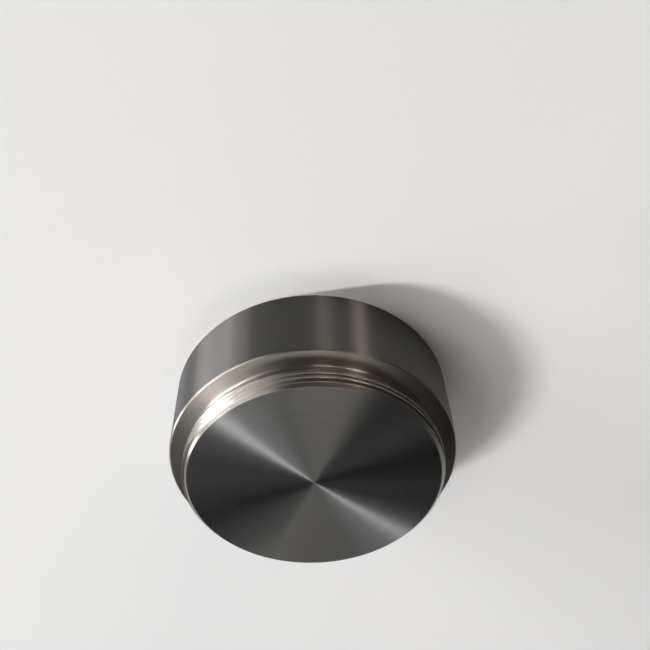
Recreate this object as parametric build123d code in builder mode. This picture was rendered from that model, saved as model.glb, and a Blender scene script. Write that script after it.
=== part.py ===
from build123d import *

import os
from math import radians, tan

# A round titanium target for arc evaporation, turned in one piece: a plain disc whose
# threaded spigot screws into the cathode's water-cooled holder. It stands on the face
# that is sputtered, spigot up, with the origin at the centre of that face.

# Disc
disc_diameter = 100.0
total_height = 40.0
sputter_edge_chamfer = 0.5
shoulder_edge_chamfer = 0.5

# Spigot. The thread is M90 x 2, and the plain land here has its crest diameter.
spigot_height = 10.0
thread_diameter = 90.0
lead_in_chamfer = 1.75

# Undercut between the thread and the shoulder, where the threading tool runs out
undercut_diameter = 87.0
undercut_width = 4.0
undercut_root_radius = 0.6
run_out_angle = 45.0

# Radii of the turned section
disc_radius = disc_diameter / 2
thread_radius = thread_diameter / 2
undercut_radius = undercut_diameter / 2

# Levels above the sputtered face
shoulder_level = total_height - spigot_height
thread_end_level = shoulder_level + undercut_width
run_out_drop = (thread_radius - undercut_radius) * tan(radians(run_out_angle))
undercut_top_level = thread_end_level - run_out_drop


with BuildPart() as target_disc:
    # Half of the turned section, in the upright plane through the axis
    with BuildSketch(Plane.XZ):
        with BuildLine():
            Polyline(
                (0, 0),
                (disc_radius, 0),
                (disc_radius, shoulder_level),
                (undercut_radius, shoulder_level),
                (undercut_radius, undercut_top_level),
                (thread_radius, thread_end_level),
                (thread_radius, total_height),
                (0, total_height),
                close=True,
            )
        make_face()
    revolve(axis=Axis.Z)

    # Corner circles, from the sputtered face up to the spigot's end
    levels = target_disc.edges().filter_by(GeomType.CIRCLE).group_by(Axis.Z)
    sputter_edge = levels[0]
    shoulder_circles = levels[1].sort_by(SortBy.RADIUS)
    undercut_root = shoulder_circles[0]
    shoulder_edge = shoulder_circles[-1]
    spigot_edge = levels[-1]

    chamfer(sputter_edge, length=sputter_edge_chamfer)
    chamfer(shoulder_edge, length=shoulder_edge_chamfer)
    chamfer(spigot_edge, length=lead_in_chamfer)
    fillet(undercut_root, radius=undercut_root_radius)

target_disc.part.label = "target_disc"

os.makedirs("parts", exist_ok=True)
export_step(target_disc.part, "parts/target_disc.step")
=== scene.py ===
from math import atan2, ceil, cos, pi, radians, sin, tan

import bpy
from mathutils import Euler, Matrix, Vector


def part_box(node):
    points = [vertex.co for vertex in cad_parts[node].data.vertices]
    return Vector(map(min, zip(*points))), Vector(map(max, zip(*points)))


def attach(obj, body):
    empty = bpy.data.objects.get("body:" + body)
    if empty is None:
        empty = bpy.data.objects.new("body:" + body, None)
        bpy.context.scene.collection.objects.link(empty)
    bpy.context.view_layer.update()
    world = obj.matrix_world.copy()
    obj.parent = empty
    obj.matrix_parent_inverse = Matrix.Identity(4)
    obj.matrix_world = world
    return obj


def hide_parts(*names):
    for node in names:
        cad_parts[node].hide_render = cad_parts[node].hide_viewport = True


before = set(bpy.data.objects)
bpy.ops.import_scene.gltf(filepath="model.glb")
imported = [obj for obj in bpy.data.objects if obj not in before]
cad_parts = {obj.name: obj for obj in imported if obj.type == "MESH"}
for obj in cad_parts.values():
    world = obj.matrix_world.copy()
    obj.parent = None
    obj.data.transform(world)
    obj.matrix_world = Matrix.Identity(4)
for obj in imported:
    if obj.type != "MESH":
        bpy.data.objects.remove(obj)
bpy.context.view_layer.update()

MM = 0.001
BODY = "root"
NODE = "target_disc"

# Sizes in millimetres, as in the solid. The disc and the total height come from the frame,
# whose facets leave one side a little shorter, so the shorter side is taken.
low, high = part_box(NODE)
DISC_RADIUS = min(high.x - low.x, high.y - low.y) / 2 / MM
TOTAL_HEIGHT = (high.z - low.z) / MM
SPIGOT_HEIGHT = 10.0
SHOULDER_LEVEL = TOTAL_HEIGHT - SPIGOT_HEIGHT
EDGE_CHAMFER = 0.5
LEAD_IN = 1.75
THREAD_RADIUS = 45.0
UNDERCUT_RADIUS = 43.5
UNDERCUT_WIDTH = 4.0
UNDERCUT_ROOT_RADIUS = 0.6
THREAD_END_LEVEL = SHOULDER_LEVEL + UNDERCUT_WIDTH
UNDERCUT_TOP_LEVEL = THREAD_END_LEVEL - (THREAD_RADIUS - UNDERCUT_RADIUS)
FACE_RADIUS = THREAD_RADIUS - LEAD_IN

# Thread form, M90 x 2: flat crests, 60 degree flanks and a narrow flat root
THREAD_PITCH = 2.0
THREAD_CREST = THREAD_PITCH / 8
THREAD_DEPTH = 1.15
FLANK_ANGLE = radians(30)

# Broken edges
EDGE_BREAK = 0.12

# Mesh: columns round the axis, and the longest steps along the section
AROUND = 360
THREAD_ROW = 0.08
LONGEST_ROW = 4.0
ARC_STEPS = 3
ON_AXIS = 1e-6


def corner_arc(before, corner, after, radius):
    """The small arc that breaks one corner of the section, as points and outward normals.

    The section runs from the spigot's face outwards and down, so outward is on its left.
    """
    arriving = (corner - before).normalized()
    leaving = (after - corner).normalized()
    first = Vector((-arriving.y, arriving.x))
    last = Vector((-leaving.y, leaving.x))
    turn = atan2(arriving.x * leaving.y - arriving.y * leaving.x, arriving.dot(leaving))
    side = -1 if turn > 0 else 1
    centre = corner - (first + last) * (side * radius / (1 + first.dot(last)))
    heading = atan2(first.y, first.x)
    rows = []
    for step in range(ARC_STEPS + 1):
        angle = heading + turn * step / ARC_STEPS
        normal = Vector((cos(angle), sin(angle)))
        rows.append((centre + normal * (side * radius), normal))
    return rows


def thread_radius(level, angle):
    """Radius of the right-hand thread at a level and an angle round the axis."""
    turns = level / THREAD_PITCH - angle / (2 * pi)
    from_crest = abs(turns - round(turns)) * THREAD_PITCH
    drop = (from_crest - THREAD_CREST / 2) / tan(FLANK_ANGLE)
    return THREAD_RADIUS - min(max(drop, 0.0), THREAD_DEPTH)


def section_rows():
    """Rows of the turned section: point, outward normal, and the region that starts there."""
    corners = [
        ((0, TOTAL_HEIGHT), "face", 0),
        ((FACE_RADIUS, TOTAL_HEIGHT), "thread", EDGE_BREAK),
        ((THREAD_RADIUS, TOTAL_HEIGHT - LEAD_IN), "thread", EDGE_BREAK),
        ((THREAD_RADIUS, THREAD_END_LEVEL), "thread", EDGE_BREAK),
        ((UNDERCUT_RADIUS, UNDERCUT_TOP_LEVEL), "undercut", EDGE_BREAK),
        ((UNDERCUT_RADIUS, SHOULDER_LEVEL), "shoulder", UNDERCUT_ROOT_RADIUS),
        ((DISC_RADIUS - EDGE_CHAMFER, SHOULDER_LEVEL), "edge", EDGE_BREAK),
        ((DISC_RADIUS, SHOULDER_LEVEL - EDGE_CHAMFER), "wall", EDGE_BREAK),
        ((DISC_RADIUS, EDGE_CHAMFER), "edge", EDGE_BREAK),
        ((DISC_RADIUS - EDGE_CHAMFER, 0), "back", EDGE_BREAK),
        ((0, 0), "back", 0),
    ]
    points = [Vector(point) for point, region, radius in corners]
    rows = [(points[0], Vector((0, 1)), corners[0][1])]
    for index in range(1, len(corners) - 1):
        region, radius = corners[index][1:]
        arc = corner_arc(points[index - 1], points[index], points[index + 1], radius)
        rows += [(point, normal, region) for point, normal in arc]
    rows.append((points[-1], Vector((0, -1)), corners[-1][1]))
    return fill_long_rows(rows)


def fill_long_rows(rows):
    """The same rows with more on long straight stretches, and close ones along the thread."""
    filled = []
    for (point, normal, region), (following, ahead, below) in zip(rows, rows[1:]):
        filled.append((point, normal, region))
        span = (following - point).length
        longest = THREAD_ROW if region == "thread" else LONGEST_ROW
        steps = max(1, ceil(span / longest))
        for step in range(1, steps):
            filled.append((point.lerp(following, step / steps), normal, region))
    filled.append(rows[-1])
    return filled


def build_target(materials):
    """The whole turned target as one closed mesh, with its thread cut."""
    rows = section_rows()
    vertices = []
    normals = []
    ring_starts = []
    for point, normal, region in rows:
        ring_starts.append(len(vertices))
        if point.x < ON_AXIS:
            vertices.append((0, 0, point.y * MM))
            normals.append((0, 0, normal.y))
            continue
        for column in range(AROUND):
            angle = 2 * pi * column / AROUND
            radius, out, up = point.x, normal.x, normal.y
            if region == "thread" and thread_radius(point.y, angle) < point.x:
                radius = thread_radius(point.y, angle)
                rise = thread_radius(point.y + THREAD_ROW / 2, angle)
                fall = thread_radius(point.y - THREAD_ROW / 2, angle)
                slope = (rise - fall) / THREAD_ROW
                facing = Vector((1, -slope)).normalized()
                out, up = facing.x, facing.y
            vertices.append((radius * cos(angle) * MM, radius * sin(angle) * MM, point.y * MM))
            normals.append((out * cos(angle), out * sin(angle), up))
    faces = []
    slots = []
    names = list(materials)
    for index in range(len(rows) - 1):
        upper, lower = ring_starts[index], ring_starts[index + 1]
        slot = names.index(rows[index][2])
        for column in range(AROUND):
            beside = (column + 1) % AROUND
            if rows[index][0].x < ON_AXIS:
                faces.append((upper, lower + column, lower + beside))
            elif rows[index + 1][0].x < ON_AXIS:
                faces.append((upper + column, lower, upper + beside))
            else:
                faces.append((upper + column, lower + column, lower + beside, upper + beside))
            slots.append(slot)
    mesh = bpy.data.meshes.new("turned_target")
    mesh.from_pydata(vertices, [], faces)
    for material in materials.values():
        mesh.materials.append(material)
    mesh.polygons.foreach_set("material_index", slots)
    mesh.polygons.foreach_set("use_smooth", [True] * len(faces))
    mesh.normals_split_custom_set_from_vertices(normals)
    piece = bpy.data.objects.new("turned_target", mesh)
    bpy.context.scene.collection.objects.link(piece)
    return piece


class Graph:
    """A short way to add and link the nodes of one material."""

    def __init__(self, name):
        self.material = bpy.data.materials.new(name)
        self.material.use_nodes = True
        self.tree = self.material.node_tree
        self.shader = self.tree.nodes["Principled BSDF"]

    def add(self, kind, values=None, **settings):
        node = self.tree.nodes.new(kind)
        for key, value in settings.items():
            setattr(node, key, value)
        for key, value in (values or {}).items():
            node.inputs[key].default_value = value
        return node

    def link(self, source, output, target, socket):
        self.tree.links.new(source.outputs[output], target.inputs[socket])


# Tool marks: how close they lie, and how far they change the tone and the roughness
MARKS_PER_MM = 3.0
BANDS_PER_MM = 0.45
TONE_CHANGE = 0.06
ROUGHNESS_CHANGE = 0.1
MARK_LOW, MARK_HIGH = 0.3, 0.7


def turned_metal(name, colour, roughness, anisotropy, marks_along):
    """Bare turned titanium, whose tool marks run round the axis.

    The marks change along the radius on flat rings and along the height elsewhere. They are
    in the tone and the roughness, and the anisotropy stretches reflections across them.
    """
    graph = Graph(name)
    shader = graph.shader
    shader.inputs["Metallic"].default_value = 1.0
    shader.inputs["Anisotropic"].default_value = anisotropy
    shader.inputs["Anisotropic Rotation"].default_value = 0.25

    place = graph.add("ShaderNodeTexCoord")
    if marks_along == "radius":
        flat = graph.add("ShaderNodeVectorMath", {1: (1, 1, 0)}, operation="MULTIPLY")
        length = graph.add("ShaderNodeVectorMath", operation="LENGTH")
        graph.link(place, "Object", flat, 0)
        graph.link(flat, 0, length, 0)
        along = (length, "Value")
    else:
        split = graph.add("ShaderNodeSeparateXYZ")
        graph.link(place, "Object", split, 0)
        along = (split, "Z")

    # One noise for the single marks and a wider one for bands of them
    marks = graph.add(
        "ShaderNodeTexNoise",
        {"Scale": MARKS_PER_MM / MM, "Detail": 3.0, "Roughness": 0.6},
        noise_dimensions="1D",
    )
    graph.link(along[0], along[1], marks, "W")
    bands = graph.add(
        "ShaderNodeTexNoise",
        {"Scale": BANDS_PER_MM / MM, "Detail": 2.0},
        noise_dimensions="1D",
    )
    graph.link(along[0], along[1], bands, "W")

    tone = graph.add("ShaderNodeMix", data_type="RGBA")
    tone.inputs["A"].default_value = (*[part * (1 - TONE_CHANGE) for part in colour], 1)
    tone.inputs["B"].default_value = (*[part * (1 + TONE_CHANGE) for part in colour], 1)
    graph.link(bands, "Fac", tone, "Factor")
    graph.link(tone, "Result", shader, "Base Color")

    rough = graph.add(
        "ShaderNodeMapRange",
        {
            "From Min": MARK_LOW,
            "From Max": MARK_HIGH,
            "To Min": roughness * (1 - ROUGHNESS_CHANGE),
            "To Max": roughness * (1 + ROUGHNESS_CHANGE),
        },
    )
    graph.link(marks, "Fac", rough, "Value")
    graph.link(rough, "Result", shader, "Roughness")

    tangent = graph.add("ShaderNodeTangent", direction_type="RADIAL", axis="Z")
    graph.link(tangent, "Tangent", shader, "Tangent")
    return graph.material


# One bare metal in four tones: fresh cuts carry its own tone, and the faced ends, the shoulder
# and the wall take darker copies of it, painted shade
# Painted shade: the faced tone is a darker copy of the cut metal, and the back takes it too
FACED_PAINTED_SHADE = (0.190, 0.192, 0.188)
CUT = (0.360, 0.334, 0.308)
# Painted shade: the shoulder's tone is the cut tone made darker, to tone down its highlight
LEDGE_PAINTED_SHADE = (0.310, 0.287, 0.265)
# Painted shade: the wall's metal is made far darker than the cuts, so its reflections come out
# dark
WALL_PAINTED_SHADE = (0.098, 0.096, 0.094)
materials = {
    "face": turned_metal("faced_end_painted_shade", FACED_PAINTED_SHADE, 0.33, 1.0, "radius"),
    "thread": turned_metal("cut_thread", CUT, 0.30, 0.6, "height"),
    "undercut": turned_metal("undercut_wall", CUT, 0.30, 0.8, "height"),
    "shoulder": turned_metal("shoulder_ring_painted_shade", LEDGE_PAINTED_SHADE, 0.40, 0.9, "radius"),
    "edge": turned_metal("edge_chamfer", CUT, 0.30, 0.6, "height"),
    "wall": turned_metal("turned_wall_painted_shade", WALL_PAINTED_SHADE, 0.38, 1.0, "height"),
    "back": turned_metal("back_face_painted_shade", FACED_PAINTED_SHADE, 0.40, 1.0, "radius"),
}

target = build_target(materials)
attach(target, BODY)
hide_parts(NODE)

# Camera at the photograph's place, fitted to the disc's edges in it
IMAGE_SIZE = 650
FOCAL_PIXELS = 838.6
CAMERA_PLACE = Vector((-6.641, -214.092, 234.66)) * MM
CAMERA_DOWN = radians(52.878)
CAMERA_ROLL = radians(176.647)
SENSOR = 36.0

camera_data = bpy.data.cameras.new("camera")
camera_data.sensor_width = SENSOR
camera_data.lens = SENSOR * FOCAL_PIXELS / IMAGE_SIZE
camera_data.clip_start = 0.01
camera = bpy.data.objects.new("camera", camera_data)
bpy.context.scene.collection.objects.link(camera)
camera.location = CAMERA_PLACE
tilt = Euler((pi / 2 - CAMERA_DOWN, 0, 0)).to_matrix()
camera.rotation_euler = (tilt @ Euler((0, 0, CAMERA_ROLL)).to_matrix()).to_euler()
bpy.context.scene.camera = camera


# Floor, just under the disc
FLOOR_HALF = 4.0
FLOOR_LEVEL = -0.02 * MM
FLOOR_TONE = 0.93


def add_floor():
    mesh = bpy.data.meshes.new("floor")
    sides = [(-1, -1), (1, -1), (1, 1), (-1, 1)]
    corners = [(x * FLOOR_HALF, y * FLOOR_HALF, FLOOR_LEVEL) for x, y in sides]
    mesh.from_pydata(corners, [], [(0, 1, 2, 3)])
    floor = bpy.data.objects.new("floor", mesh)
    bpy.context.scene.collection.objects.link(floor)
    graph = Graph("pale_floor")
    graph.shader.inputs["Base Color"].default_value = (FLOOR_TONE, FLOOR_TONE, FLOOR_TONE, 1)
    graph.shader.inputs["Roughness"].default_value = 0.9
    graph.shader.inputs["Specular IOR Level"].default_value = 0.1
    mesh.materials.append(graph.material)


add_floor()

# Lamps, aimed at the middle of the spigot's face
AIM = Vector((0, 0, TOTAL_HEIGHT)) * MM
LAMP_DISTANCE = 3.0
WHOLE_BEAM = 180
LOW_BEAM = 24
WHITE = (1.0, 1.0, 1.0)
WARM = (1.0, 0.84, 0.70)
CREAM = (1.0, 0.95, 0.90)


def soft_lamp(name, bearing, elevation, width, height, level, colour=WHITE, beam=WHOLE_BEAM):
    """An area lamp aimed at the disc, at a bearing from +X and an elevation, in degrees.

    Its width, height and level are those of the same lamp seen from one metre. A narrow
    beam lights the disc about as strongly, and less of the floor round it.
    """
    data = bpy.data.lights.new(name, "AREA")
    data.shape = "RECTANGLE"
    data.size = width * LAMP_DISTANCE
    data.size_y = height * LAMP_DISTANCE
    data.energy = level * LAMP_DISTANCE ** 2
    data.color = colour
    if beam < WHOLE_BEAM:
        half = radians(beam / 2)
        data.spread = 2 * half
        data.energy *= 1 - half / tan(half)
    lamp = bpy.data.objects.new(name, data)
    bpy.context.scene.collection.objects.link(lamp)
    turn, rise = radians(bearing), radians(elevation)
    away = Vector((cos(turn) * cos(rise), sin(turn) * cos(rise), sin(rise)))
    lamp.location = AIM + away * LAMP_DISTANCE
    lamp.rotation_euler = away.to_track_quat("Z", "Y").to_euler()


# Upper lamps, which draw the streaks on the spigot's face
soft_lamp("key_strip", 4, 46, 0.04, 0.20, 5.0)
soft_lamp("key_top", 14, 58, 0.20, 0.20, 0.5)
soft_lamp("left_fill", 22, 44, 0.26, 0.26, 0.6)
soft_lamp("left_top", 55, 66, 0.30, 0.20, 0.5)
soft_lamp("front_left", 320, 49, 0.40, 0.30, 1.0)
soft_lamp("back_top", 100, 72, 0.34, 0.26, 0.95, CREAM)
soft_lamp("back_fill", 60, 38, 0.40, 0.30, 0.2)

# Low lamps, which light the wall, the shoulder and the thread
soft_lamp("low_left_back", 14, 5, 0.26, 0.14, 3.0, WHITE, LOW_BEAM)
soft_lamp("low_left", 345, 5, 0.34, 0.14, 7.6, WHITE, LOW_BEAM)
soft_lamp("low_left_middle", 334, 5, 0.14, 0.14, 2.8, WHITE, LOW_BEAM)
soft_lamp("low_left_front", 325, 5, 0.16, 0.14, 5.2, WHITE, LOW_BEAM)
soft_lamp("low_left_edge", 314, 5, 0.06, 0.16, 1.6, WARM, LOW_BEAM)
soft_lamp("low_front", 258, 6, 0.16, 0.20, 1.8, WARM, LOW_BEAM)
soft_lamp("low_front_end", 234, 5, 0.08, 0.20, 2.8, WARM, LOW_BEAM)
soft_lamp("low_back", 74, 6, 0.46, 0.16, 2.7, WHITE, LOW_BEAM)


# World: how high the pale horizon reaches, as the sine of the elevation, and both strengths
HORIZON_FROM, HORIZON_TO = 0.02, 0.20
HORIZON_STRENGTH = 0.40
OVERHEAD_STRENGTH = 0.015


def add_world():
    """A dim studio whose walls are pale near the horizon and dark above."""
    world = bpy.data.worlds.new("studio")
    world.use_nodes = True
    nodes, links = world.node_tree.nodes, world.node_tree.links
    direction = nodes.new("ShaderNodeTexCoord")
    split = nodes.new("ShaderNodeSeparateXYZ")
    fade = nodes.new("ShaderNodeMapRange")
    fade.interpolation_type = "SMOOTHSTEP"
    fade.inputs["From Min"].default_value = HORIZON_FROM
    fade.inputs["From Max"].default_value = HORIZON_TO
    fade.inputs["To Min"].default_value = HORIZON_STRENGTH
    fade.inputs["To Max"].default_value = OVERHEAD_STRENGTH
    links.new(direction.outputs["Generated"], split.inputs[0])
    links.new(split.outputs["Z"], fade.inputs["Value"])
    links.new(fade.outputs["Result"], nodes["Background"].inputs["Strength"])
    nodes["Background"].inputs["Color"].default_value = (1, 1, 1, 1)
    bpy.context.scene.world = world


add_world()
bpy.context.scene.view_settings.view_transform = "Standard"
